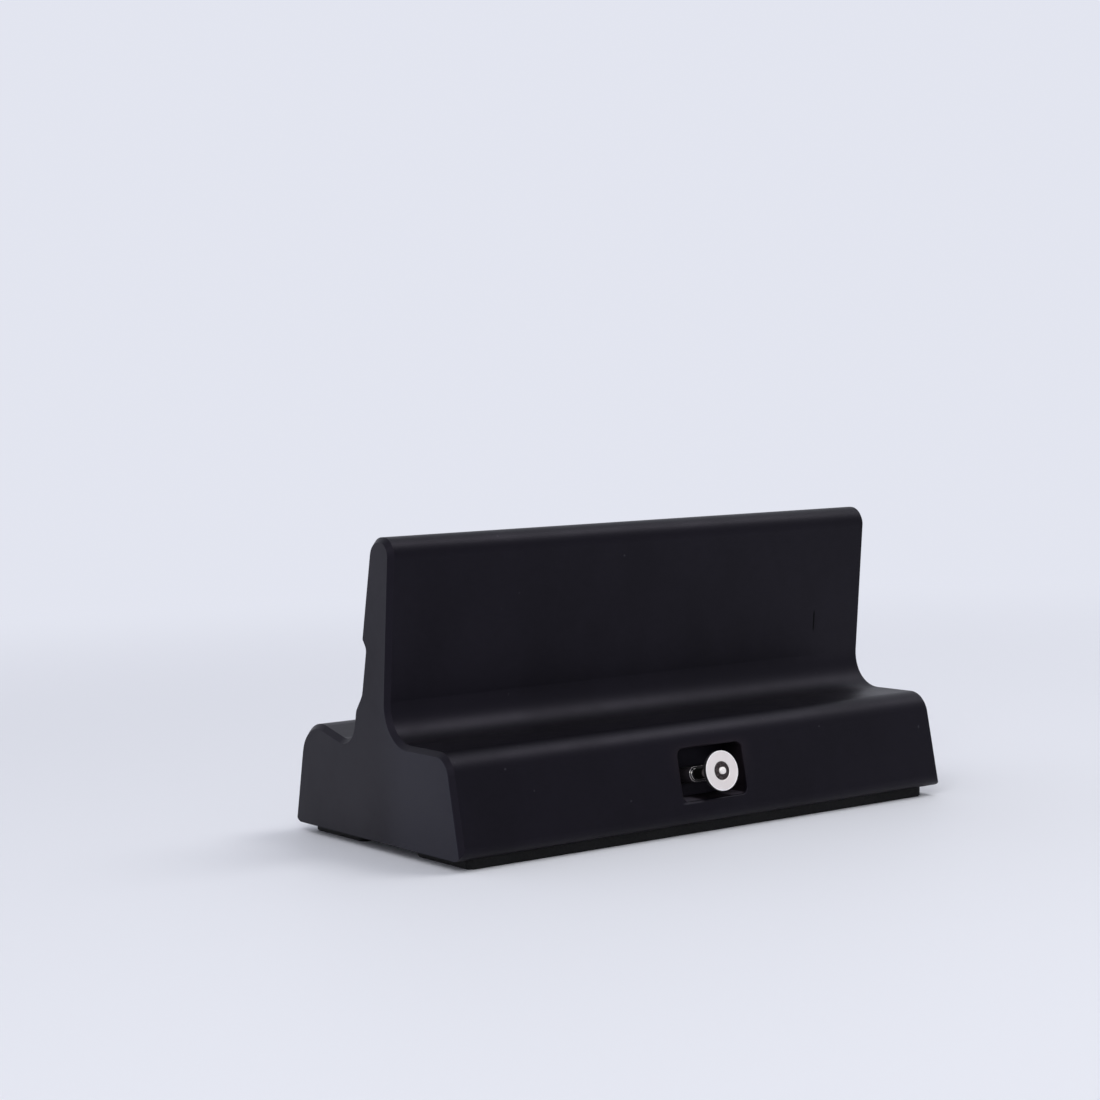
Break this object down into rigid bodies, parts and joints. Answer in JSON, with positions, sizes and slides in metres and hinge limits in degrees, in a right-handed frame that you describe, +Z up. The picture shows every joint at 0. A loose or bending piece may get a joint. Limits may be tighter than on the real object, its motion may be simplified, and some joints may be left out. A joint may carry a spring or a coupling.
{
  "type": "handheld device charging dock",
  "caption": "Low charging dock with a leaning upright, a cradle groove along the front, and a power inlet with a round contact tip in a recess at the back.",
  "frame": {"origin": "on the floor, under the middle of the box round the whole dock", "axes": "+X along the dock's length, +Y from the cradle to the inlet side at the back, +Z up"},
  "size_m": [0.118, 0.0624, 0.0593],
  "materials": {
    "shell_plastic": "soft-touch near-black with a fine grain and faint smudges",
    "cover_plastic": "near-black, evenly grained",
    "foot_rubber": "plain black rubber sheet",
    "screw_steel": "zinc-plated steel",
    "board_laminate": "dark green solder mask",
    "chip_resin": "black moulded resin",
    "connector_nickel": "nickel-plated drawn steel",
    "connector_resin": "black moulded resin",
    "contact_gold": "thin gold plate",
    "tip_satin_nickel": "pale satin nickel",
    "tip_black": "black, glossy",
    "pin_bright": "bright plated pin",
    "tip_carrier": "grey moulded carrier",
    "collar_rubber": "soft black rubber",
    "ribbon_film": "pale plastic film"
  },
  "bodies": {
    "root": {"upper_shell": "shell_plastic", "bottom_cover": "cover_plastic", "front_foot_strip": "foot_rubber", "rear_foot_strip": "foot_rubber", "cover_screws": "screw_steel", "inlet_board": "board_laminate", "inlet_board_screws": "screw_steel", "inlet_board_chips": "chip_resin", "inlet_shell": "connector_nickel", "inlet_tongue": "connector_resin", "inlet_contacts": "contact_gold", "tip_ring": "tip_satin_nickel", "tip_eye": "tip_black", "tip_centre_pin": "pin_bright", "tip_body": "tip_carrier", "tip_plug_shell": "connector_nickel", "tip_plug_insert": "connector_resin", "tip_plug_contacts": "contact_gold", "cradle_plug_shell": "connector_nickel", "cradle_plug_insert": "connector_resin", "cradle_plug_contacts": "contact_gold", "cradle_plug_collar": "collar_rubber", "plug_board": "board_laminate", "plug_board_screws": "screw_steel", "ribbon_sockets": "chip_resin", "link_ribbon": "ribbon_film"}
  },
  "joints": []
}
